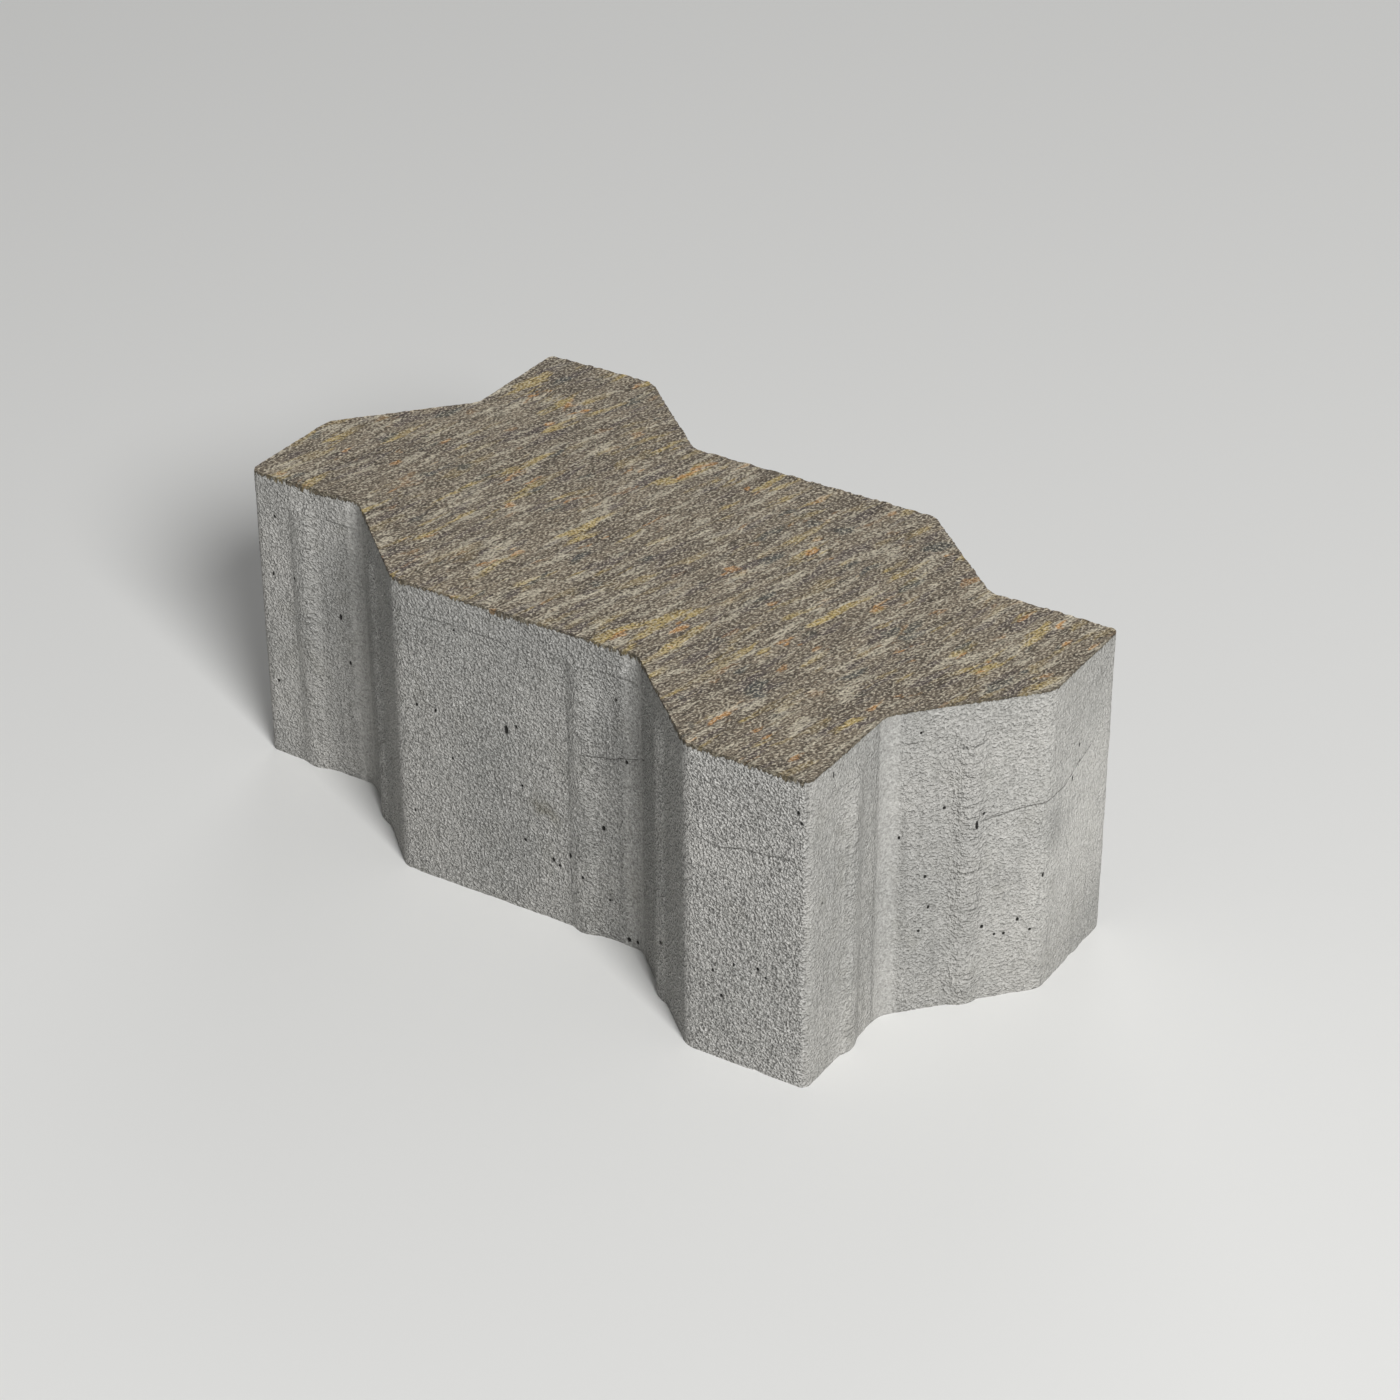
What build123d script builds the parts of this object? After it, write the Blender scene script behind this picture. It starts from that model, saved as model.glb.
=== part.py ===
from build123d import *
import os
from math import radians, tan

os.makedirs("parts", exist_ok=True)

# Concrete paving stone with interlocking zigzag sides, all sizes in millimetres.
# The stone lies flat on z = 0, centred on the z axis, its long way along x.

# Driving dimensions of the laying grid
module_pitch = 100.0  # one square of the grid; a stone covers two squares in a row
joint_gap = 3.5  # joint left all round between two neighbouring stones
thickness = 80.0

# Driving dimensions of the zigzag side
zig_angle = 15.0  # slope of the outer flanks of each zigzag, in degrees
zag_angle = 27.0  # slope of the steeper middle flank, in degrees
tip_radius = 2.2  # rounding of the four right-angled tips
bend_radius = 5.5  # rounding of every bend of the zigzag

# Driving dimensions of the spacer ribs
rib_height = 1.2  # how far a rib stands out of its flank
rib_half_width = 4.5  # from the crest of a rib to where it dies out
rib_foot_share = 0.3  # part of that width which belongs to the hollow foot
rib_top_gap = 6.0  # plain band left between the ribs and the upper face
rib_end_angle = 65.0  # slope of the upper end of a rib, in degrees from level
rib_spacing = 29.6  # between the two ribs of one zigzag, along the grid line
first_rib_start = 16.3  # from a tip to the first rib of a long side
middle_rib_start = 18.6  # from the middle of a long side to its next rib
end_rib_start = 20.0  # from a tip to the first rib of an end
rib_root = 0.06  # how deep the feet of a rib start below the flank

# Sizes that follow from the ones above
zig_slope = tan(radians(zig_angle))
zag_slope = tan(radians(zag_angle))
zig_run = module_pitch * zag_slope / (2 * (zig_slope + zag_slope))
zig_depth = zig_run * zig_slope
inset = joint_gap / 2
rib_top = thickness - rib_top_gap

# The zigzag between two grid corners is the same on every grid square, so that a
# stone fits its neighbours straight, in rows or turned by a right angle.
flank = Vector(zig_run, zig_depth)
pitch = Vector(module_pitch, 0)
near_tip = Vector(-module_pitch, -module_pitch / 2)
far_tip = Vector(module_pitch, -module_pitch / 2)
side_corners = [
    near_tip,
    near_tip + flank,
    near_tip + pitch - flank,
    near_tip + pitch + flank,
    near_tip + pitch * 2 - flank,
]
end_corners = [
    far_tip,
    far_tip + flank.rotate(Axis.Z, 90),
    far_tip + (pitch - flank).rotate(Axis.Z, 90),
]
half_outline = side_corners + end_corners
outline = half_outline + [corner * -1 for corner in half_outline]
tips = [near_tip, far_tip, near_tip * -1, far_tip * -1]


def distance_to_tip(vertex):
    return min((vertex.center() - tip).length for tip in tips)


# Plan of the stone: the grid outline, drawn in by half a joint and rounded
with BuildSketch() as plan:
    with BuildLine():
        Polyline(*outline, close=True)
    make_face()
    offset(amount=-inset, kind=Kind.INTERSECTION)
    bends = sorted(plan.vertices(), key=distance_to_tip)[4:]
    fillet(bends, radius=bend_radius)
    sharp_tips = sorted(plan.vertices(), key=distance_to_tip)[:4]
    fillet(sharp_tips, radius=tip_radius)

body = extrude(plan.sketch, amount=thickness)

# Plan of one spacer rib: a round crest that runs out in two hollow feet. The flank
# of the stone is the local x axis and the joint lies on the side of negative y.
mid_point = (rib_half_width * (1 - rib_foot_share), -rib_height * rib_foot_share)
with BuildSketch() as rib_plan:
    with BuildLine():
        foot = TangentArc((rib_half_width, rib_root), mid_point, tangent=(-1, 0))
        far_foot = mirror(foot, about=Plane.YZ)
        ThreePointArc(foot @ 1, (0, -rib_height), far_foot @ 1)
        Polyline(foot @ 0, (rib_half_width, inset), (-rib_half_width, inset), far_foot @ 0)
    make_face()

# Side view of one spacer rib: upright crest, upper end sloping back to the flank
end_slope = tan(radians(rib_end_angle))
with BuildSketch(Plane.YZ) as rib_side:
    with BuildLine():
        Polyline(
            (-rib_height, 0),
            (inset, 0),
            (inset, rib_top + inset * end_slope),
            (-rib_height, rib_top - rib_height * end_slope),
            close=True,
        )
    make_face()

rib_prism = extrude(rib_plan.sketch, amount=thickness)
rib_profile = extrude(rib_side.sketch, amount=rib_half_width, both=True)
rib = rib_prism & rib_profile


def rib_pair(corner, heading, start):
    first = Vector(start, start * zig_slope)
    second_x = start + rib_spacing
    second = Vector(second_x, zig_depth - (second_x - zig_run) * zag_slope)
    placed = []
    for point, slope in ((first, zig_angle), (second, -zag_angle)):
        inward = Vector(0, inset).rotate(Axis.Z, slope)
        spot = corner + (point + inward).rotate(Axis.Z, heading)
        placed.append(Pos(spot.X, spot.Y, 0) * Rot(0, 0, heading + slope) * rib)
    return placed


# Two ribs on each of the six zigzags
ribs = []
for turn in (0, 180):
    for corner, heading, start in (
        (near_tip, 0, first_rib_start),
        (near_tip + pitch, 0, middle_rib_start),
        (far_tip, 90, end_rib_start),
    ):
        ribs += rib_pair(corner.rotate(Axis.Z, turn), heading + turn, start)

stone = body + ribs
paving_stone = stone.solids().sort_by(SortBy.VOLUME)[-1]
paving_stone.label = "paving_stone"
export_step(paving_stone, "parts/paving_stone.step")
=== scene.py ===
import math

import bmesh
import bpy
import numpy as np
from mathutils import Matrix, Vector, geometry
from mathutils.bvhtree import BVHTree


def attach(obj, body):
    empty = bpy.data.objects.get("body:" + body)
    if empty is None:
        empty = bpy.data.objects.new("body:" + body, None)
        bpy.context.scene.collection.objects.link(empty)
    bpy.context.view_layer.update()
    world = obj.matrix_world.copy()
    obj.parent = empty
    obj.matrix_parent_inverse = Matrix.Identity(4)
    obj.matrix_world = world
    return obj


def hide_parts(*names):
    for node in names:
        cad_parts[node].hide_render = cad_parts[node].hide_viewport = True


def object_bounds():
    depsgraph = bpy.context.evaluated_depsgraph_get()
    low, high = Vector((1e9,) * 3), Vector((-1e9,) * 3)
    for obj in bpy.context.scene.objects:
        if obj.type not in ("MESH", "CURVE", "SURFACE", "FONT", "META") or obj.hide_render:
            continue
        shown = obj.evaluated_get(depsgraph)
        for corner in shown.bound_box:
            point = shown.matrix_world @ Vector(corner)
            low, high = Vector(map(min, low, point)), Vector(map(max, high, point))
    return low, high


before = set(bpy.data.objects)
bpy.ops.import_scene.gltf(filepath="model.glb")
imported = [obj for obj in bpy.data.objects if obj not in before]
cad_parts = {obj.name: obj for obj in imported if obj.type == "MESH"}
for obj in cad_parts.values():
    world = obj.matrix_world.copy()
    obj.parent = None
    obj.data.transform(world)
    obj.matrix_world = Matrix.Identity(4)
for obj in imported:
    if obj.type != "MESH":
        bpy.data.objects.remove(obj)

# Concrete paving stone in metres: grey cast sides, brown-grey streaked upper face.

mm = 0.001
cad_low, cad_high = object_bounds()
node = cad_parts["paving_stone"]
top_z = cad_high.z

# Spacing of the vertices of the detailed surface
wall_step = 1.12 * mm
top_step = 0.87 * mm
bed_step = 3.2 * mm
crack_step = 0.45 * mm
rim_drops = (0.35 * mm, 0.75 * mm, 1.25 * mm, 1.9 * mm)

merge_distance = 1e-9
flat_scatter = 0.22  # share of a step by which points of the flat faces are moved
rim_clearance = 0.55 * mm  # kept between those points and the rim
top_seed, bed_seed = 31, 32
pore_rings = ((0.6, 6, 0.2), (1.1, 9, 0.5))  # share of the radius, points and twist
pore_room = 1.5  # cleared of other points, for its radius
crack_room = 1.7  # cleared of other points, for its half width

# Depth of the relief that is real geometry
side_grit_depth = 0.16 * mm
side_swell_depth = 0.20 * mm
top_grit_depth = 0.34 * mm
top_groove_depth = 0.25 * mm
bed_depth = 0.35 * mm
rim_wear_depth = 0.40 * mm
rim_wear_reach = 0.55 * mm
rim_chip_size = 1.0 * mm
wall_chip_size = 0.9 * mm
end_wear = 0.35  # wear of the rim on the two ends, as a share of that on the long sides
bed_edge_depth = 0.35 * mm
bed_edge_reach = 0.5 * mm
bed_nick_size = 2.5 * mm
crack_depth = 0.16 * mm
crack_half_width = 0.26 * mm
pore_depth_share = 1.1  # depth of a pore for its radius

# Layers of noise in that relief: size, share and seed
side_grit_layers = ((1.4 * mm, 0.6, 1), (2.6 * mm, 0.4, 2))
side_swell_layers = ((9 * mm, 0.6, 3), (22 * mm, 0.4, 4))
top_grit_layers = ((1.1 * mm, 0.7, 11), (2.1 * mm, 0.3, 12))
bed_layers = ((3.5 * mm, 0.5, 21), (12 * mm, 0.5, 22))
groove_size = np.array((2.2, 13.0, 9.0)) * mm

# Finer relief that the material adds
grit_size = 0.62 * mm
grain_size = 0.55 * mm
grit_bump = 1.85 * mm
lump_bump = 0.40 * mm
ripple_bump = 2.6 * mm
drag_bump = 0.22 * mm
grain_bump = 0.90 * mm
streak_bump = 0.35 * mm
mould_line_drop = 8.0 * mm
mould_line_depth = 0.75 * mm

# How far the face mix laps over the rim
lap_start = 0.35 * mm
lap_length = 2.6 * mm

# Stretches of x over which the grit of the long sides changes, in metres; over the right one the grey
# also gets its painted light near the tip
left_change = (-0.075, -0.050)
right_change = (0.050, 0.075)

# How the outline and the wall are measured
sample_step = 0.1 * mm
heading_window = 0.4 * mm
foot_softness = 0.8 * mm  # blur of the wall along the outline, which rounds the rib feet
foot_half_width = 0.45 * mm
reach_stride = 4  # samples of the outline between two places where the wall is measured
reach_rows = 81
rib_height = 1.2 * mm

# Where a rib or a tip shows on the outline
rib_threshold = 0.08 * mm
tip_turn = math.radians(70)
turn_window = 3 * mm
full_bend = math.radians(30)  # an inner bend that turns this much is fully shaded

# Direction of the streaks, turned a little from the y axis
streak_turn = math.radians(-2.5)

# Pores seen on the sides that face the camera, in mm: x, y, height, radius
# and how tall for their width
pores = (
    (-2.4, -48.8, 48.6, 0.62, 2.2), (0.4, -48.1, 50.3, 0.36, 1.4), (27.3, -40.9, 66.3, 0.34, 1.6),
    (-27.1, -55.4, 47.4, 0.42, 1.2), (-21.8, -54.0, 47.5, 0.36, 1.5), (-17.5, -52.9, 35.8, 0.36, 1.3),
    (-15.8, -52.4, 70.9, 0.33, 1.2), (2.0, -47.7, 19.9, 0.42, 1.2), (23.4, -41.9, 30.6, 0.55, 1.5),
    (9.6, -45.6, 17.0, 0.48, 1.3), (11.3, -45.2, 16.0, 0.36, 1.2), (14.3, -44.3, 19.9, 0.46, 1.6),
    (18.3, -43.3, 15.8, 0.38, 1.2), (29.8, -40.2, 1.9, 0.62, 1.1), (32.2, -39.5, 2.1, 0.50, 1.2),
    (50.9, -48.5, 15.9, 0.46, 1.3), (49.0, -47.5, 57.7, 0.50, 1.2), (-29.0, -56.0, 17.4, 0.34, 1.6),
    (1.6, -47.8, 34.7, 0.32, 1.3), (24.8, -41.5, 11.2, 0.34, 1.2), (29.9, -40.2, 50.7, 0.42, 1.4),
    (-74.2, -41.3, 46.0, 0.48, 2.0), (-72.2, -40.7, 33.6, 0.40, 1.6), (-92.4, -46.2, 68.7, 0.46, 1.2),
    (-93.9, -46.5, 52.3, 0.40, 1.5), (95.0, -49.5, 71.6, 0.42, 1.2), (95.8, -49.3, 69.1, 0.42, 1.2),
    (85.5, -52.1, 27.8, 0.40, 1.3), (87.5, -51.5, 26.2, 0.36, 1.2), (74.3, -55.1, 23.2, 0.38, 1.4),
    (79.6, -53.7, 26.8, 0.34, 1.3), (76.6, -54.5, 17.3, 0.42, 1.2), (99.0, 2.0, 48.2, 0.44, 3.0),
    (95.6, -4.7, 53.6, 0.46, 1.0), (95.2, -39.0, 76.7, 0.32, 3.0), (92.9, -10.1, 74.0, 0.36, 1.0),
    (90.9, -14.0, 47.6, 0.36, 1.3), (93.8, -8.3, 36.1, 0.36, 1.4), (96.2, -42.6, 46.2, 0.32, 1.2),
    (94.3, -7.4, 27.8, 0.38, 1.3), (93.3, -9.3, 21.7, 0.36, 1.2), (100.2, 4.2, 20.1, 0.44, 1.3),
    (104.1, 11.8, 20.4, 0.42, 1.4), (102.6, 9.0, 17.2, 0.40, 1.2), (101.6, 7.0, 17.4, 0.34, 1.2),
    (105.5, 14.6, 17.1, 0.40, 1.1), (106.7, 17.1, 31.3, 0.42, 1.6), (103.3, 31.0, 58.4, 0.36, 2.0),
    (103.9, 28.5, 51.0, 0.44, 2.0), (99.8, 3.6, 50.6, 0.34, 1.3),
)

# Pores made up for the hidden sides, in mm
hidden_pore_count = 64
hidden_pore_seed = 41
hidden_pore_radii = (0.32, 0.5)
hidden_pore_tallness = (1.0, 2.0)
pore_spacing = 3 * mm
seam_clearance = 4 * mm
bed_clearance = 3 * mm
top_clearance = 5 * mm

# Hairlines in mm, each a list of x, y, height; the last two are made up for the hidden sides
hairlines = (
    ((16.5, -43.8, 48.6), (23.1, -42.0, 49.2), (29.7, -40.2, 51.0), (39, -42.4, 55.9)),
    ((69.2, -56.4, 57.0), (75.4, -54.8, 56.6), (81.5, -53.1, 57.6), (88.8, -51.2, 58.8),
     (95.9, -49.3, 59.9)),
    ((99.2, 2.4, 48.9), (102.7, 9.2, 49.7), (107.0, 17.6, 50.9), (104.9, 24.8, 50.8),
     (103.1, 31.5, 53.6), (100.6, 40.9, 57.0)),
    ((-20, 43, 30), (-8, 46, 33), (2, 49, 32), (14, 52, 35)),
    ((-104, -12, 55), (-102, -4, 53), (-98, 6, 54)),
)

# Stains, and one wide pale patch of painted light, in mm: x, y, height, reach and strength, dark
# above zero and pale below
stains_and_light = (
    (6.4, -46.5, 30.9, 3.0, 0.8), (10.2, -45.5, 29.0, 2.6, 0.5), (30.0, -40.1, 16.0, 7.0, 0.35),
    (102.1, 8.0, 29.9, 4.5, 0.6), (106.5, 20.0, 42.0, 7.0, 0.4), (-86.8, -44.7, 30.0, 8.0, 0.3),
    (80.0, -53.5, 40.0, 5.0, 0.35), (72.0, -55.6, 53.0, 4.0, -0.7), (80.5, -53.4, 53.6, 4.5, -0.5),
    # Painted light: the wide pale entry at 103, 34 lightens the right end face.
    (103.0, 34.0, 40.0, 30.0, -0.7), (20.7, -42.6, 64.0, 6.0, -0.3), (-8.0, -50.3, 75.0, 9.0, -0.2),
    (-30.0, 41.0, 36.0, 6.0, 0.4), (60.0, 54.0, 22.0, 7.0, 0.4), (-101.0, 12.0, 30.0, 6.0, 0.5),
)


# Noise that is worked out in numpy, the same in every run

def lattice_value(cell, seed):
    """A fixed random number from -1 to 1 for each whole-number cell."""
    x, y, z = (cell[..., k].astype(np.uint32) for k in range(3))
    mixed = x * np.uint32(374761393) + y * np.uint32(668265263)
    mixed = mixed + z * np.uint32(2246822519) + np.uint32(seed * 97531 + 17)
    mixed = (mixed ^ (mixed >> np.uint32(13))) * np.uint32(1274126177)
    mixed = mixed ^ (mixed >> np.uint32(16))
    return mixed.astype(np.float64) / 2147483648.0 - 1.0


def soft_noise(points, size, seed):
    """Smooth noise from -1 to 1 with features about as large as size."""
    scaled = points / size
    cell = np.floor(scaled).astype(np.int64)
    part = scaled - cell
    part = part * part * (3 - 2 * part)
    total = np.zeros(len(points))
    for dx in (0, 1):
        for dy in (0, 1):
            for dz in (0, 1):
                weight = np.ones(len(points))
                for axis, step in enumerate((dx, dy, dz)):
                    weight *= part[:, axis] if step else 1 - part[:, axis]
                total += weight * lattice_value(cell + np.array((dx, dy, dz)), seed)
    return total


def layered_noise(points, layers):
    """Layers of soft noise added up, from 0 to 1."""
    total = sum(share * soft_noise(points, size, seed) for size, share, seed in layers)
    return 0.5 + 0.5 * total


# Outline of the stone, read from the CAD node

def cad_shape():
    shape = bmesh.new()
    shape.from_mesh(node.data)
    return shape


def top_outline():
    """The rim of the node's upper face as an ordered anticlockwise ring of points."""
    shape = cad_shape()
    bmesh.ops.remove_doubles(shape, verts=shape.verts, dist=1e-6)
    on_top = {v for v in shape.verts if abs(v.co.z - top_z) < 1e-6}
    neighbours = {v: [] for v in shape.verts if v in on_top}
    for edge in shape.edges:
        if not on_top.issuperset(edge.verts):
            continue
        if sum(on_top.issuperset(f.verts) for f in edge.link_faces) == 1:
            first, second = edge.verts
            neighbours[first].append(second)
            neighbours[second].append(first)
    on_rim = [v for v in neighbours if len(neighbours[v]) == 2]
    start = max(on_rim, key=lambda v: (round(v.co.y, 6), v.co.x))
    points = np.array([v.co.xy for v in walk_round(start, neighbours)])
    shape.free()
    following = np.roll(points, -1, axis=0)
    area = np.sum(points[:, 0] * following[:, 1] - following[:, 0] * points[:, 1])
    return points if area > 0 else points[::-1]


def walk_round(start, neighbours):
    """The vertices of a closed ring in order, from its start."""
    ring = [start]
    came_from, here = start, neighbours[start][0]
    while here is not start:
        ring.append(here)
        onward = [v for v in neighbours[here] if v is not came_from][0]
        came_from, here = here, onward
    return ring


class Outline:
    """The rim in plan, with each place on it named by the run along it."""

    def __init__(self, points):
        self.points = np.vstack([points, points[:1]])
        lengths = np.linalg.norm(np.diff(self.points, axis=0), axis=1)
        self.runs = np.concatenate([[0], np.cumsum(lengths)])
        self.length = self.runs[-1]
        self.samples = np.arange(0, self.length, sample_step)
        self.sample_places = self.place(self.samples)

    def place(self, run):
        run = np.mod(run, self.length)
        return np.stack([np.interp(run, self.runs, self.points[:, k]) for k in (0, 1)], axis=1)

    def heading(self, run):
        """Direction of the outline, anticlockwise seen from above."""
        ahead = self.place(run + heading_window) - self.place(run - heading_window)
        return ahead / np.linalg.norm(ahead, axis=1)[:, None]

    def normal(self, run):
        """Direction away from the stone, square to the outline."""
        ahead = self.heading(run)
        return np.stack([ahead[:, 1], -ahead[:, 0]], axis=1)

    def turn(self, run):
        """How far the outline turns within the window: above zero at an outer bend."""
        before = self.heading(run - turn_window)
        after = self.heading(run + turn_window)
        cross = before[:, 0] * after[:, 1] - before[:, 1] * after[:, 0]
        return np.arctan2(cross, np.sum(before * after, axis=1))

    def nearest_run(self, x, y):
        far = np.hypot(*(self.sample_places - np.array((x, y))).T)
        return self.samples[np.argmin(far)]


def softened(values, cells):
    """Gaussian blur along a closed row of values."""
    offsets = np.arange(-4 * cells, 4 * cells + 1)
    weights = np.exp(-0.5 * (offsets / cells) ** 2)
    return sum(w * np.roll(values, -k) for k, w in zip(offsets, weights)) / weights.sum()


def soft_reach(outline, tree, runs, heights):
    """The wall's reach at many places, with the feet of the ribs a little rounded."""
    grid_runs = outline.samples[::reach_stride]
    blur_cells = round(foot_softness / (reach_stride * sample_step))
    rows = []
    for height in np.linspace(0, top_z, reach_rows):
        row = wall_reach(outline, tree, grid_runs, np.full(len(grid_runs), height))
        rows.append(softened(row, blur_cells))
    rows = np.array(rows + rows[-1:])
    at = heights / top_z * (reach_rows - 1)
    below = np.minimum(at.astype(int), reach_rows - 1)
    column = np.mod(runs, outline.length) / (grid_runs[1] - grid_runs[0])
    left = np.minimum(column.astype(int), len(grid_runs) - 1)
    right = (left + 1) % len(grid_runs)
    across, up = column - left, at - below
    low = rows[below, left] * (1 - across) + rows[below, right] * across
    high = rows[below + 1, left] * (1 - across) + rows[below + 1, right] * across
    return low * (1 - up) + high * up


def wall_tree():
    """The CAD node's faces, ready for the rays of wall_reach."""
    shape = cad_shape()
    tree = BVHTree.FromBMesh(shape)
    shape.free()
    return tree


def wall_reach(outline, tree, runs, heights):
    """How far the CAD node's wall, ribs included, stands outside the outline."""
    start_out = 4 * mm
    edge_gap = 0.02 * mm
    least, most = -1 * mm, 3 * mm
    reach = np.zeros(len(runs))
    heights = np.clip(heights, edge_gap, top_z - edge_gap)
    places, normals = outline.place(runs), outline.normal(runs)
    for k, (place, normal, height) in enumerate(zip(places, normals, heights)):
        origin = Vector((*(place + normal * start_out), height))
        hit = tree.ray_cast(origin, Vector((-normal[0], -normal[1], 0)))
        if hit[0] is not None:
            reach[k] = start_out - hit[3]
    return np.clip(reach, least, most)


def stretches(values, runs, threshold):
    """The runs at which each stretch of values above the threshold starts and ends."""
    above = values > threshold
    starts = np.flatnonzero(above & ~np.roll(above, 1))
    ends = np.flatnonzero(above & ~np.roll(above, -1))
    return [(runs[a], runs[b]) for a, b in zip(starts, ends) if a < b]


def rib_feet(outline, tree):
    """The runs at which each rib starts and ends, at half the stone's height."""
    half_height = np.full(len(outline.samples), top_z / 2)
    reach = wall_reach(outline, tree, outline.samples, half_height)
    return stretches(reach, outline.samples, rib_threshold)


# Points and triangles of each patch of the surface

def wall_columns(outline, feet):
    """Even columns of vertices, with one on every tip and three on every rib foot."""
    tips = stretches(outline.turn(outline.samples), outline.samples, tip_turn)
    anchors = [0.0, outline.length] + [(a + b) / 2 for a, b in tips]
    for pair in feet:
        for foot in pair:
            anchors += [foot - foot_half_width, foot, foot + foot_half_width]
    anchors = sorted(anchors)
    columns = []
    for start, end in zip(anchors, anchors[1:]):
        count = max(1, math.ceil((end - start) / wall_step))
        columns.append(np.linspace(start, end, count, endpoint=False))
    return np.concatenate(columns)


def wall_rows():
    """Heights of the rows of vertices: even ones, then closer ones in the band below the rim."""
    band = [top_z - drop for drop in rim_drops]
    count = round(band[-1] / wall_step)
    return np.concatenate([np.linspace(0, band[-1], count + 1), band[-2::-1], [top_z]])


def ellipse(run, height, radius, tall, count, twist):
    """A ring of points of a pore."""
    angle = np.arange(count) * 2 * math.pi / count + twist
    return np.stack([run + radius * np.cos(angle), height + radius * tall * np.sin(angle)], axis=1)


def pore_list(outline):
    """Run, height, radius and tallness of the seen pores and of made-up hidden ones."""
    found = [
        (outline.nearest_run(x * mm, y * mm), height * mm, radius * mm, tall)
        for x, y, height, radius, tall in pores
    ]
    random = np.random.default_rng(hidden_pore_seed)
    while len(found) < len(pores) + hidden_pore_count:
        run = random.uniform(seam_clearance, outline.length - seam_clearance)
        height = random.uniform(bed_clearance, top_z - top_clearance)
        radius = random.uniform(*hidden_pore_radii) * mm
        tall = random.uniform(*hidden_pore_tallness)
        x, y = outline.place(np.array([run]))[0]
        clear = all(math.hypot(run - r, height - h) > pore_spacing for r, h, _, _ in found)
        if y * cad_high.x > x * cad_high.y and clear:
            found.append((run, height, radius, tall))
    return found


def hairline_paths(outline):
    """The hairlines as finely divided, slightly wavering paths of run and height."""
    paths = []
    for line in hairlines:
        corners = np.array([(outline.nearest_run(x * mm, y * mm), z * mm) for x, y, z in line])
        lengths = np.concatenate([[0], np.cumsum(np.hypot(*np.diff(corners, axis=0).T))])
        along = np.arange(0, lengths[-1], crack_step)
        path = np.stack([np.interp(along, lengths, corners[:, k]) for k in (0, 1)], axis=1)
        seed_points = np.column_stack([path, np.zeros(len(path))])
        path[:, 1] += 0.35 * mm * soft_noise(seed_points, 2.4 * mm, 51)
        path[:, 1] += 0.6 * mm * soft_noise(seed_points, 8 * mm, 52)
        paths.append(path)
    return paths


def wall_border(columns, fine, rows, length):
    """The border of the unrolled wall, anticlockwise from its lower left corner."""
    inner_rows = rows[1:-1]
    bottom = [(run, 0.0) for run in (*columns, length)]
    right = [(length, height) for height in inner_rows]
    top = [(run, top_z) for run in (length, *fine[::-1])]
    left = [(0.0, height) for height in inner_rows[::-1]]
    return np.array(bottom + right + top + left)


def wall_grid(columns, fine, rows):
    """The rows and columns inside that border, with twice the columns in the upper band."""
    inner_rows = rows[1:-1]
    in_band = inner_rows > top_z - rim_drops[-1] - 1e-9
    inside = [(run, height) for height in inner_rows[in_band] for run in fine[1:]]
    inside += [(run, height) for height in inner_rows[~in_band] for run in columns[1:]]
    return np.array(inside)


def with_details(inside, found_pores, paths):
    """The points inside, with those at pores and hairlines changed for finer ones."""
    added = []
    for run, height, radius, tall in found_pores:
        away = np.hypot(inside[:, 0] - run, (inside[:, 1] - height) / tall)
        inside = inside[away > pore_room * radius]
        added.append(np.array([(run, height)]))
        for share, count, twist in pore_rings:
            added.append(ellipse(run, height, share * radius, tall, count, twist))
    for path in paths:
        for run, height in path:
            away = np.hypot(*(inside - (run, height)).T)
            inside = inside[away > crack_room * crack_half_width]
        for side in (-1, 0, 1):
            added.append(path + (0, side * crack_half_width))
    return np.vstack([inside, *added])


def wall_points(outline, columns, found_pores, paths):
    """The border of the unrolled wall, then the points inside it."""
    following = np.append(columns[1:], outline.length)
    fine = np.sort(np.concatenate([columns, (columns + following) / 2]))
    rows = wall_rows()
    border = wall_border(columns, fine, rows, outline.length)
    return border, with_details(wall_grid(columns, fine, rows), found_pores, paths)


def triangulated(points, border_count):
    """Triangles between points in a plane, inside the border that the first of them make."""
    border = [list(range(border_count))]
    vectors = [Vector(p) for p in points]
    made = geometry.delaunay_2d_cdt(vectors, [], border, 1, merge_distance)
    source = np.array([ids[0] for ids in made[3]])
    return source[np.array(made[2])]


def wall_triangles(border, inside, length):
    """Points and triangles of the unrolled wall, and the near seam's point for each far one."""
    points = np.vstack([border, inside])
    triangles = triangulated(points, len(border))
    joined = np.arange(len(points))
    near_seam = {round(h / mm, 6): k for k, (r, h) in enumerate(border) if r == 0.0}
    for k, (run, height) in enumerate(border):
        if run == length:
            joined[k] = near_seam[round(height / mm, 6)]
    return points, triangles, joined


def scattered_grid(rim, step, seed):
    """Staggered rows of points over the rim's box, each point moved a little."""
    low, high = rim.min(axis=0), rim.max(axis=0)
    rows = np.arange(low[1], high[1], step * math.sqrt(3) / 2)
    grid = []
    for k, y in enumerate(rows):
        xs = np.arange(low[0] + (k % 2) * step / 2, high[0], step)
        grid.append(np.stack([xs, np.full(len(xs), y)], axis=1))
    grid = np.vstack(grid)
    spread = np.random.default_rng(seed).uniform(-flat_scatter, flat_scatter, grid.shape)
    return grid + spread * step


def well_inside(grid, rim):
    """True for each point that is inside the rim and clear of its vertices."""
    following = np.roll(rim, -1, axis=0)
    inside = np.zeros(len(grid), bool)
    nearest = np.full(len(grid), np.inf)
    for a, b in zip(rim, following):
        crosses = (a[1] > grid[:, 1]) != (b[1] > grid[:, 1])
        rise = b[1] - a[1] if abs(b[1] - a[1]) > 1e-12 else 1e-12
        at_x = a[0] + (grid[:, 1] - a[1]) * (b[0] - a[0]) / rise
        inside ^= crosses & (grid[:, 0] < at_x)
        nearest = np.minimum(nearest, np.hypot(*(grid - a).T))
    return inside & (nearest > rim_clearance)


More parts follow.
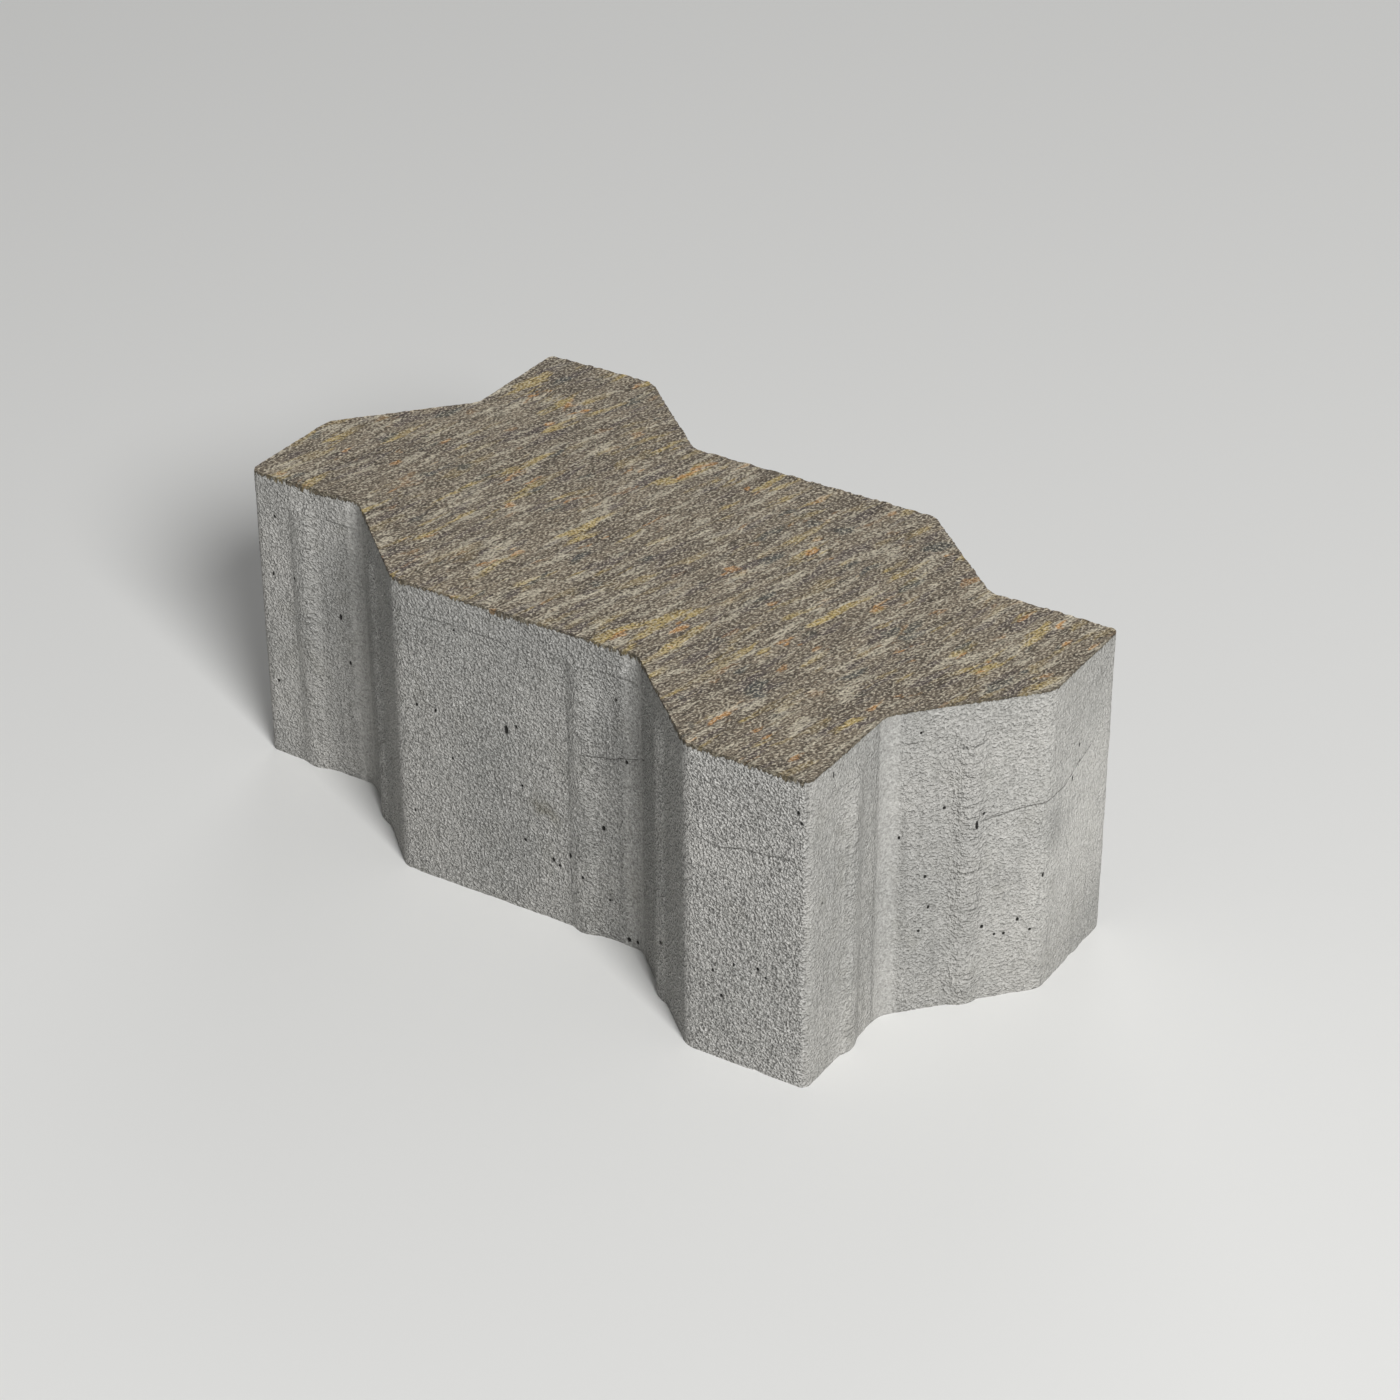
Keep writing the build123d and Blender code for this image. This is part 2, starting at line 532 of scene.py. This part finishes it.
def fill_flat(rim, step, seed):
    """Points inside a rim and the triangles that join them to it."""
    grid = scattered_grid(rim, step, seed)
    grid = grid[well_inside(grid, rim)]
    return grid, triangulated(np.vstack([rim, grid]), len(rim))


# Relief of each face, as depth below the CAD surface

def side_relief(points, wear):
    """Grit and swells of the grey sides, the worn rim and the nicked edge of the bed."""
    depth = side_grit_depth * layered_noise(points, side_grit_layers)
    depth += side_swell_depth * layered_noise(points, side_swell_layers)
    drop = top_z - points[:, 2]
    chips = np.clip(soft_noise(points, wall_chip_size, 7) * 0.8 + 0.4, 0, 1)
    depth += rim_wear_depth * wear * chips * np.exp(-drop / rim_wear_reach)
    nicks = np.clip(soft_noise(points, bed_nick_size, 8), 0, 1)
    depth += bed_edge_depth * (0.3 + nicks) * np.exp(-points[:, 2] / bed_edge_reach)
    return depth


def pore_mask(runs, heights, found_pores):
    """Depth of the pores, and 1 at the bottom of each fading to 0 at its mouth."""
    depth = np.zeros(len(runs))
    mask = np.zeros(len(runs))
    for run, height, radius, tall in found_pores:
        away = np.hypot(runs - run, (heights - height) / tall) / radius
        bowl = np.clip(1 - away ** 2, 0, 1)
        depth = np.maximum(depth, pore_depth_share * radius * bowl)
        mask = np.maximum(mask, np.clip(1.7 - 1.5 * away, 0, 1))
    return depth, mask


def crack_mask(runs, heights, paths):
    """1 along each hairline, fading to 0 at its edges and its ends."""
    mask = np.zeros(len(runs))
    for path in paths:
        ends = np.minimum(np.arange(len(path)), np.arange(len(path))[::-1]) / 8
        for (run, height), strength in zip(path, np.clip(ends, 0.25, 1)):
            away = np.hypot(runs - run, heights - height) / crack_half_width
            mask = np.maximum(mask, strength * np.clip(1 - away, 0, 1))
    return mask


def stain_and_light_mask(points):
    """Strength of the staining, and of the painted light on the right end face, at each point."""
    total = np.zeros(len(points))
    for x, y, z, reach, strength in stains_and_light:
        away = np.linalg.norm(points / mm - (x, y, z), axis=1) / reach
        total += strength * np.exp(-(away ** 2))
    return total


def foot_dust_and_shade_mask(runs, feet):
    """1 along the left foot of each rib, for dust and painted shade in the crease there, and 0 beside
    it.
    """
    mask = np.zeros(len(runs))
    for left, _ in feet:
        away = np.abs(runs - left) / foot_half_width
        mask = np.maximum(mask, np.clip(1 - away, 0, 1))
    return mask


def top_relief(points):
    """Grit of the upper face, with grooves along the streaks."""
    turned = points.copy()
    turned[:, 0] = points[:, 0] * math.cos(streak_turn) - points[:, 1] * math.sin(streak_turn)
    groove = soft_noise(turned, groove_size, 13)
    grit = top_grit_depth * layered_noise(points, top_grit_layers)
    return grit + top_groove_depth * (0.5 + 0.5 * groove)


def bed_relief(points):
    """The slightly rough bed."""
    return bed_depth * layered_noise(points, bed_layers)


def ring_at(flat, height, length):
    """The wall's vertices at one height, in order along the outline."""
    ids = np.flatnonzero((flat[:, 1] == height) & (flat[:, 0] < length))
    return ids[np.argsort(flat[ids, 0])]


def stand_wall(outline, tree, feet, flat, found_pores, paths):
    """The wall's points in space with their relief, and the masks that colour them."""
    runs, heights = flat[:, 0], flat[:, 1]
    reach = soft_reach(outline, tree, runs, heights)
    normals = outline.normal(runs)
    long_side = np.clip((np.abs(normals[:, 1]) - 0.6) / 0.25, 0, 1)
    wear = end_wear + (1 - end_wear) * long_side
    wall = np.column_stack([outline.place(runs) + normals * reach[:, None], heights])
    pore_depth, hollow = pore_mask(runs, heights, found_pores)
    crack = crack_mask(runs, heights, paths)
    depth = side_relief(wall, wear) + pore_depth + crack_depth * crack
    wall[:, :2] -= normals * depth[:, None]
    on_rim = heights == top_z
    chips = np.clip(0.45 + 0.6 * soft_noise(wall, rim_chip_size, 9), 0, 1)
    wall[on_rim, 2] -= (rim_wear_depth * wear * chips)[on_rim]
    masks = {
        "hollow": hollow,
        "crack": crack,
        "stain_and_light": stain_and_light_mask(wall),
        "rib": np.clip(reach / rib_height, 0, 1),
        # Dust and painted shade along the left foot of each rib
        "foot": foot_dust_and_shade_mask(runs, feet) * long_side,
        "long_side": long_side,
        # Inner bends: where the grey gets its painted shade and calmer relief
        "inner_bend": np.clip(-outline.turn(runs) / full_bend, 0, 1),
    }
    return wall, masks


def upper_face(rim):
    """Points and triangles of the upper face within its rim."""
    grid, faces = fill_flat(rim, top_step, top_seed)
    points = np.column_stack([grid, np.full(len(grid), top_z)])
    points[:, 2] -= top_relief(points)
    return points, faces


def bed(rim):
    """Points and triangles of the bed within its rim, facing down."""
    grid, faces = fill_flat(rim, bed_step, bed_seed)
    points = np.column_stack([grid, np.zeros(len(grid))])
    points[:, 2] += bed_relief(points)
    return points, faces[:, ::-1]


def build_stone():
    """One closed mesh: the wall, then the upper face and the bed."""
    outline, tree = Outline(top_outline()), wall_tree()
    found_pores, paths = pore_list(outline), hairline_paths(outline)
    feet = rib_feet(outline, tree)
    columns = wall_columns(outline, feet)
    border, inside = wall_points(outline, columns, found_pores, paths)
    flat, wall_faces, joined = wall_triangles(border, inside, outline.length)
    wall, masks = stand_wall(outline, tree, feet, flat, found_pores, paths)
    rim_ids = ring_at(flat, top_z, outline.length)
    foot_ids = ring_at(flat, 0.0, outline.length)
    top_points, top_faces = upper_face(wall[rim_ids, :2])
    bed_points, bed_faces = bed(wall[foot_ids, :2])

    top_ids = np.concatenate([rim_ids, len(wall) + np.arange(len(top_points))])
    bed_start = len(wall) + len(top_points)
    bed_ids = np.concatenate([foot_ids, bed_start + np.arange(len(bed_points))])
    points = np.vstack([wall, top_points, bed_points])
    faces = np.vstack([joined[wall_faces], top_ids[top_faces], bed_ids[bed_faces]])

    mesh = bpy.data.meshes.new("paving_stone_surface")
    mesh.from_pydata(points.tolist(), [], faces.tolist())
    mesh.polygons.foreach_set("use_smooth", [True] * len(faces))
    place_masks(mesh, masks)
    place_wall_map(mesh, flat, wall_faces, len(bed_faces))
    sharpen(mesh, (rim_ids, foot_ids))
    drop_loose(mesh)
    made = bpy.data.objects.new("paving_stone_surface", mesh)
    bpy.context.scene.collection.objects.link(made)
    return made


def place_masks(mesh, masks):
    """Keeps each mask as an attribute of the mesh, 0 away from the wall."""
    for name, values in masks.items():
        layer = mesh.attributes.new(name, "FLOAT", "POINT")
        rest = np.zeros(len(mesh.vertices) - len(values))
        layer.data.foreach_set("value", np.concatenate([values, rest]))


def sharpen(mesh, rings):
    """Marks the edges along the rim and along the foot as sharp."""
    rings = [set(ids.tolist()) for ids in rings]
    for edge in mesh.edges:
        ends = set(edge.vertices)
        edge.use_edge_sharp = any(ends <= ring for ring in rings)


def place_wall_map(mesh, flat, wall_faces, bed_count):
    """Run along the outline, height, and 1 on grey faces or 0 on the upper face."""
    layer = mesh.attributes.new("wall", "FLOAT_VECTOR", "CORNER")
    values = np.zeros((len(mesh.loops), 3))
    corners = wall_faces.ravel()
    values[:len(corners), :2] = flat[corners]
    values[:len(corners), 2] = 1
    values[len(values) - 3 * bed_count:, 2] = 1
    layer.data.foreach_set("vector", values.ravel())


def drop_loose(mesh):
    """Takes out the vertices of the far seam, which the near seam stands for."""
    shape = bmesh.new()
    shape.from_mesh(mesh)
    loose = [v for v in shape.verts if not v.link_faces]
    bmesh.ops.delete(shape, geom=loose, context="VERTS")
    shape.to_mesh(mesh)
    shape.free()


# Node helpers

class Graph:
    """Short ways to add shader nodes to one material."""

    def __init__(self, name):
        self.material = bpy.data.materials.new(name)
        self.material.use_nodes = True
        self.nodes = self.material.node_tree.nodes
        self.links = self.material.node_tree.links
        self.nodes.clear()

    def node(self, kind, inputs=None, **settings):
        made = self.nodes.new(kind)
        for key, value in settings.items():
            setattr(made, key, value)
        for key, value in (inputs or {}).items():
            if isinstance(value, bpy.types.NodeSocket):
                self.links.new(value, made.inputs[key])
            else:
                made.inputs[key].default_value = value
        return made

    def attribute(self, name, output="Fac"):
        return self.node("ShaderNodeAttribute", attribute_name=name).outputs[output]

    def math(self, operation, first, second):
        return self.node("ShaderNodeMath", {0: first, 1: second}, operation=operation).outputs[0]

    def add(self, first, *others):
        for other in others:
            first = self.math("ADD", first, other)
        return first

    def times(self, first, *others):
        for other in others:
            first = self.math("MULTIPLY", first, other)
        return first

    def place(self, vector, scale=(1, 1, 1), turn=0.0):
        made = self.node("ShaderNodeMapping", {"Vector": vector})
        made.inputs["Scale"].default_value = scale
        made.inputs["Rotation"].default_value = (0, 0, turn)
        return made.outputs[0]

    def noise(self, vector, size, seed, detail=2.0, roughness=0.5):
        made = self.node("ShaderNodeTexNoise", {"Vector": vector}, noise_dimensions="4D")
        made.inputs["Scale"].default_value = 1 / size
        made.inputs["W"].default_value = seed
        made.inputs["Detail"].default_value = detail
        made.inputs["Roughness"].default_value = roughness
        return made.outputs["Fac"]

    def ramp(self, value, low, high, start=0.0, end=1.0):
        made = self.node("ShaderNodeMapRange", {"Value": value}, interpolation_type="SMOOTHSTEP")
        made.inputs["From Min"].default_value = low
        made.inputs["From Max"].default_value = high
        made.inputs["To Min"].default_value = start
        made.inputs["To Max"].default_value = end
        return made.outputs["Result"]

    def mix(self, amount, first, second):
        made = self.node("ShaderNodeMix", data_type="RGBA", blend_type="MIX")
        made.clamp_factor = True
        for socket, value in ((0, amount), (6, first), (7, second)):
            if isinstance(value, bpy.types.NodeSocket):
                self.links.new(value, made.inputs[socket])
            else:
                made.inputs[socket].default_value = value
        return made.outputs[2]

    def finish(self, inputs, roughness, shine):
        """The shader and the material's output."""
        shader = self.node("ShaderNodeBsdfPrincipled", inputs)
        shader.inputs["Roughness"].default_value = roughness
        shader.inputs["Specular IOR Level"].default_value = shine
        self.node("ShaderNodeOutputMaterial", {"Surface": shader.outputs[0]})

    def specks(self, vector, size, radius, share, seed):
        """Round specks about one cell apart, of which only a share are kept."""
        moved = self.node("ShaderNodeVectorMath", {0: vector, 1: (seed, seed, seed)}, operation="ADD")
        cells = self.node("ShaderNodeTexVoronoi", {"Vector": moved.outputs[0]})
        cells.inputs["Scale"].default_value = 1 / size
        chance = self.node("ShaderNodeSeparateColor", {0: cells.outputs["Color"]}).outputs[0]
        kept = self.math("LESS_THAN", chance, share)
        near = self.ramp(cells.outputs["Distance"], radius / size, 0.4 * radius / size)
        return self.times(near, kept)


def tone(red, green, blue):
    """A linear colour from the 0 to 255 values of a screen colour."""
    parts = [v / 255 for v in (red, green, blue)]
    parts = [v / 12.92 if v <= 0.04045 else ((v + 0.055) / 1.055) ** 2.4 for v in parts]
    return (*parts, 1.0)


# Shades of the grey mix
cloud_dark, cloud_pale = tone(166, 165, 161), tone(184, 182, 177)
patch_shade, painted_tip_light, painted_bend_shadow = tone(140, 138, 128), tone(212, 210, 205), tone(138, 137, 134)
grain_dark, grain_pale, sand_dark = tone(98, 97, 94), tone(224, 223, 219), tone(108, 106, 102)
smear_shade, foot_dust_and_shadow = tone(126, 125, 121), tone(96, 95, 92)
stain_dark, pale_stain_and_light = tone(122, 118, 102), tone(222, 220, 214)
painted_fine_pore_shadow, painted_crack_shadow, painted_pore_shadow = tone(82, 81, 78), tone(74, 72, 68), tone(30, 29, 27)

# Shades of the face mix
face_dark, face_pale = tone(117, 107, 94), tone(149, 137, 119)
cream, violet, ochre = tone(212, 203, 182), tone(98, 89, 90), tone(200, 176, 112)
orange, slate, umber = tone(208, 154, 90), tone(84, 91, 90), tone(86, 78, 68)
face_grain_dark, face_grain_pale = tone(66, 59, 50), tone(228, 218, 196)
lap_shade = tone(66, 62, 50)

floor_shade = tone(236, 236, 234)


# The stone's material

def grey_base(g, where, near_tip):
    """Clouded grey, with painted light near the tip at the right and painted shade in the inner
    bends.
    """
    clouds = g.noise(where, 24 * mm, 1.0, detail=3)
    patches = g.noise(where, 6 * mm, 2.0, detail=3, roughness=0.6)
    colour = g.mix(g.ramp(clouds, 0.3, 0.7), cloud_dark, cloud_pale)
    colour = g.mix(g.times(g.ramp(patches, 0.50, 0.74), 0.30), colour, patch_shade)
    # Painted light: the grey is made paler towards the tip at the right, standing in for the stronger
    # light there.
    colour = g.mix(g.times(near_tip, 0.80), colour, painted_tip_light)
    # Painted shade: the grey is darkened in the inner bends, where shade falls.
    return g.mix(g.times(g.attribute("inner_bend"), 0.28), colour, painted_bend_shadow)


def with_grains(g, where, colour, grit, coarse):
    """Dark and pale grains, stronger where the grit is coarse."""
    sand = g.noise(where, 0.5 * mm, 8.0, detail=2, roughness=0.7)

    # Each layer: noise, where it starts to show, where it is full, strength and shade
    layers = (
        (grit, 0.49, 0.36, 0.30, grain_dark),
        (grit, 0.51, 0.64, 0.20, grain_pale),
        (sand, 0.50, 0.36, 0.20, sand_dark),
        (sand, 0.51, 0.64, 0.22, grain_pale),
    )
    for noise, start, full, strength, shade in layers:
        shown = g.times(g.ramp(noise, start, full, 0.0, strength), coarse)
        colour = g.mix(shown, colour, shade)
    return colour


def with_marks(g, where, wall, colour):
    """Smears, staining, painted light on the right end face, dust and painted shade at the rib feet,
    and painted shade in fine pores, hairlines and pores.
    """
    smear = g.noise(g.place(wall, scale=(1, 0.07, 1)), 1.7 * mm, 5.0, detail=2)
    colour = g.mix(g.ramp(smear, 0.54, 0.72, 0.0, 0.25), colour, smear_shade)
    stain_and_light = g.attribute("stain_and_light")
    broken = g.ramp(g.noise(where, 3.5 * mm, 6.0, detail=3), 0.30, 0.62)
    colour = g.mix(g.times(g.ramp(stain_and_light, 0.02, 0.9, 0.0, 0.62), broken), colour, stain_dark)
    pale = g.ramp(g.noise(where, 5 * mm, 6.5, detail=3), 0.20, 0.55, 0.4, 1.0)
    # Pale staining, and the painted light on the right end face.
    colour = g.mix(g.times(g.ramp(stain_and_light, -0.02, -0.8, 0.0, 0.6), pale), colour, pale_stain_and_light)
    # Dust and painted shade: a dark line along the left foot of each rib on the long sides, broken up
    # by noise.
    worn = g.ramp(g.noise(where, 9 * mm, 7.0, detail=3), 0.38, 0.62, 0.0, 0.42)
    colour = g.mix(g.times(g.attribute("foot"), worn), colour, foot_dust_and_shadow)
    # Painted shade: small dark spots stand for the shadow in fine pores.
    fine = g.specks(where, 1.9 * mm, 0.26 * mm, 0.16, 0.31)
    colour = g.mix(g.times(fine, 0.6), colour, painted_fine_pore_shadow)
    # Painted shade along the hairlines, darkest at their middles.
    colour = g.mix(g.times(g.attribute("crack"), 0.80), colour, painted_crack_shadow)
    # Painted shadow: the pores are darkened almost to black, most at the bottom.
    return g.mix(g.ramp(g.attribute("hollow"), 0.05, 0.55, 0.0, 0.97), colour, painted_pore_shadow)


def streak_space(g, where):
    """Coordinates of the long and of the patchy streaks: bent a little and drawn out."""
    lean = g.place(where, turn=streak_turn)
    bend = g.noise(where, 28 * mm, 10.0, detail=2)
    shift = g.times(g.add(bend, -0.5), 5 * mm)
    bent = g.node("ShaderNodeCombineXYZ", {0: shift}).outputs[0]
    lean = g.node("ShaderNodeVectorMath", {0: lean, 1: bent}, operation="ADD").outputs[0]
    return g.place(lean, scale=(1, 0.20, 0.3)), g.place(lean, scale=(1, 0.36, 0.3))


def top_colour(g, where, long, patchy, grain):
    """Brown-grey face mix with cream, ochre, orange, violet and slate streaks."""
    base = g.noise(long, 4.5 * mm, 11.0, detail=4, roughness=0.65)
    colour = g.mix(g.ramp(base, 0.36, 0.64), face_dark, face_pale)
    gathered = g.ramp(g.noise(where, 20 * mm, 26.0, detail=1), 0.42, 0.60, 0.25, 1.0)

    # Each streak: coordinates, size, seed, where it starts and is full, shade and strength
    streaks = (
        (long, 1.8 * mm, 12.0, 0.53, 0.62, cream, 0.64),
        (long, 2.6 * mm, 15.0, 0.54, 0.64, violet, 0.66),
        (long, 2.9 * mm, 13.0, 0.555, 0.635, ochre, g.times(gathered, 0.80)),
        (patchy, 3.4 * mm, 14.0, 0.63, 0.69, orange, g.times(gathered, 0.85)),
        (patchy, 4.6 * mm, 16.0, 0.62, 0.69, slate, 0.70),
        (long, 1.3 * mm, 19.0, 0.56, 0.66, umber, 0.55),
    )
    for space, size, seed, start, full, shade, strength in streaks:
        noise = g.noise(space, size, seed, detail=2, roughness=0.5)
        colour = g.mix(g.times(g.ramp(noise, start, full), strength), colour, shade)
    colour = g.mix(g.ramp(grain, 0.49, 0.37, 0.0, 0.72), colour, face_grain_dark)
    return g.mix(g.ramp(grain, 0.51, 0.63, 0.0, 0.64), colour, face_grain_pale)


def top_share(g, where, wall, height):
    """How much the face mix shows, with a ragged lap over the rim, and 1 on the flat face."""
    teeth = g.noise(g.place(wall, scale=(1, 0.15, 1)), 1.0 * mm, 20.0, detail=2, roughness=0.7)
    length = g.ramp(g.noise(where, 16 * mm, 21.0), 0.35, 0.65, 0.8, 2.6)
    side = g.ramp(g.attribute("long_side"), 0.0, 1.0, 0.25, 1.0)
    lap = g.times(g.times(g.add(teeth, -0.34), length, side), -lap_length)
    edge = g.add(top_z - lap_start, lap)
    lapped = g.ramp(g.math("SUBTRACT", height, edge), -0.10 * mm, 0.10 * mm)
    on_face = g.math("SUBTRACT", 1.0, g.node("ShaderNodeSeparateXYZ", {0: wall}).outputs["Z"])
    return g.math("MAXIMUM", lapped, on_face), on_face


def coarse_share(g, where):
    """How coarse the grit is, and how near a place is to the tip at the right."""
    x = g.node("ShaderNodeSeparateXYZ", {0: where}).outputs["X"]
    long_side = g.attribute("long_side")
    near_tip = g.times(g.ramp(x, *right_change), long_side)
    past_first_zag = g.ramp(x, *left_change, 0.2, 0.6)
    coarse = g.add(g.times(near_tip, 0.6), g.times(long_side, past_first_zag), 0.9)
    return coarse, near_tip


def mould_line(g, where, height):
    """Height of the faint ledge that the mould leaves below the rim, in metres."""
    wander = g.times(g.add(g.noise(where, 25 * mm, 24.0), -0.5), 3.0 * mm)
    above = g.add(height, mould_line_drop - top_z, wander)
    strength = g.ramp(g.noise(where, 10 * mm, 25.0), 0.28, 0.52)
    fainter = g.ramp(g.attribute("long_side"), 0.0, 1.0, 0.35, 1.0)
    return g.times(g.ramp(above, -0.35 * mm, 0.35 * mm), strength, fainter, mould_line_depth)


def side_bump(g, where, wall, height, grit, coarse):
    """Fine relief of the grey sides, in metres, rippled on the ribs."""
    calm = g.ramp(g.attribute("inner_bend"), 0.1, 0.9, 1.0, 0.35)
    lumps = g.noise(where, 2.2 * mm, 4.0, detail=2)
    ripple = g.noise(g.place(wall, scale=(0.28, 1, 1)), 1.05 * mm, 22.0, detail=1)
    rippled = g.times(g.attribute("rib"), g.ramp(g.noise(where, 12 * mm, 23.0), 0.36, 0.58))
    drag = g.noise(g.place(wall, scale=(1, 0.08, 1)), 1.6 * mm, 5.5)
    return g.add(
        g.times(grit, grit_bump, calm, coarse),
        g.times(lumps, lump_bump, calm),
        g.times(ripple, rippled, ripple_bump),
        g.times(drag, drag_bump),
        mould_line(g, where, height),
    )


def top_bump(g, long, grain):
    """Fine relief of the face mix, in metres."""
    ridges = g.noise(long, 1.3 * mm, 18.0, detail=2)
    return g.add(g.times(grain, grain_bump), g.times(ridges, streak_bump))


def stone_material():
    g = Graph("streaked_concrete")
    where = g.node("ShaderNodeTexCoord").outputs["Object"]
    height = g.node("ShaderNodeSeparateXYZ", {0: where}).outputs["Z"]
    wall = g.attribute("wall", "Vector")
    long, patchy = streak_space(g, where)
    grit = g.noise(where, grit_size, 3.0, detail=1, roughness=0.75)
    drawn_out = g.place(where, scale=(1, 0.7, 1), turn=streak_turn)
    grain = g.noise(drawn_out, grain_size, 17.0, detail=2)
    on_top, on_face = top_share(g, where, wall, height)
    coarse, near_tip = coarse_share(g, where)

    grey = grey_base(g, where, near_tip)
    grey = with_grains(g, where, grey, grit, coarse)
    grey = with_marks(g, where, wall, grey)
    brown = top_colour(g, where, long, patchy, grain)
    brown = g.mix(g.times(g.math("SUBTRACT", 1.0, on_face), 0.65), brown, lap_shade)
    colour = g.mix(on_top, grey, brown)

    sides, top = side_bump(g, where, wall, height, grit, coarse), top_bump(g, long, grain)
    lift = g.node("ShaderNodeMix", {0: on_top, 2: sides, 3: top}).outputs[0]
    bump = g.node("ShaderNodeBump", {"Height": lift, "Strength": 1.0, "Distance": 1.0})
    g.finish({"Base Color": colour, "Normal": bump.outputs[0]}, roughness=0.88, shine=0.3)
    return g.material


# Camera at the photo's angle: places in metres, lens and sensor in mm
camera_place = Vector((0.54692, -0.49510, 0.47769))
camera_target = Vector((0.00777, 0.00314, 0.04))
camera_roll = math.radians(0.201)
camera_lens = 91.87
camera_sensor = 36

# Lights: name, place and size in metres, power in watts
lights = (("key", (1.94, -0.82, 1.50), 0.9, 67), ("fill", (-1.50, 1.90, 0.60), 1.4, 15))
light_target = Vector((0, 0, 0.04))
world_strength = 0.17
floor_size = 12


def make_camera():
    data = bpy.data.cameras.new("camera")
    data.lens = camera_lens
    data.sensor_width = camera_sensor
    data.clip_start, data.clip_end = 0.01, 20
    camera = bpy.data.objects.new("camera", data)
    aim = (camera_target - camera_place).to_track_quat("-Z", "Y")
    turn = aim.to_matrix().to_4x4() @ Matrix.Rotation(-camera_roll, 4, "Z")
    camera.matrix_world = Matrix.Translation(camera_place) @ turn
    bpy.context.scene.collection.objects.link(camera)
    bpy.context.scene.camera = camera


def make_light(name, place, size, power):
    data = bpy.data.lights.new(name, "AREA")
    data.shape = "DISK"
    data.size = size
    data.energy = power
    light = bpy.data.objects.new(name, data)
    light.location = place
    aim = light_target - Vector(place)
    light.rotation_mode = "QUATERNION"
    light.rotation_quaternion = aim.to_track_quat("-Z", "Y")
    bpy.context.scene.collection.objects.link(light)


def make_floor():
    bpy.ops.mesh.primitive_plane_add(size=floor_size, location=(0, 0, 0))
    floor = bpy.context.object
    floor.name = "floor"
    g = Graph("floor_paper")
    g.finish({"Base Color": floor_shade}, roughness=0.95, shine=0.1)
    floor.data.materials.append(g.material)


def make_studio():
    world = bpy.data.worlds.new("studio")
    world.use_nodes = True
    backdrop = world.node_tree.nodes["Background"]
    backdrop.inputs["Color"].default_value = (1, 1, 1, 1)
    backdrop.inputs["Strength"].default_value = world_strength
    bpy.context.scene.world = world
    for light in lights:
        make_light(*light)
    bpy.context.scene.view_settings.view_transform = "Standard"


stone = build_stone()
stone.data.materials.append(stone_material())
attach(stone, "root")
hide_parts("paving_stone")
make_camera()
make_floor()
make_studio()
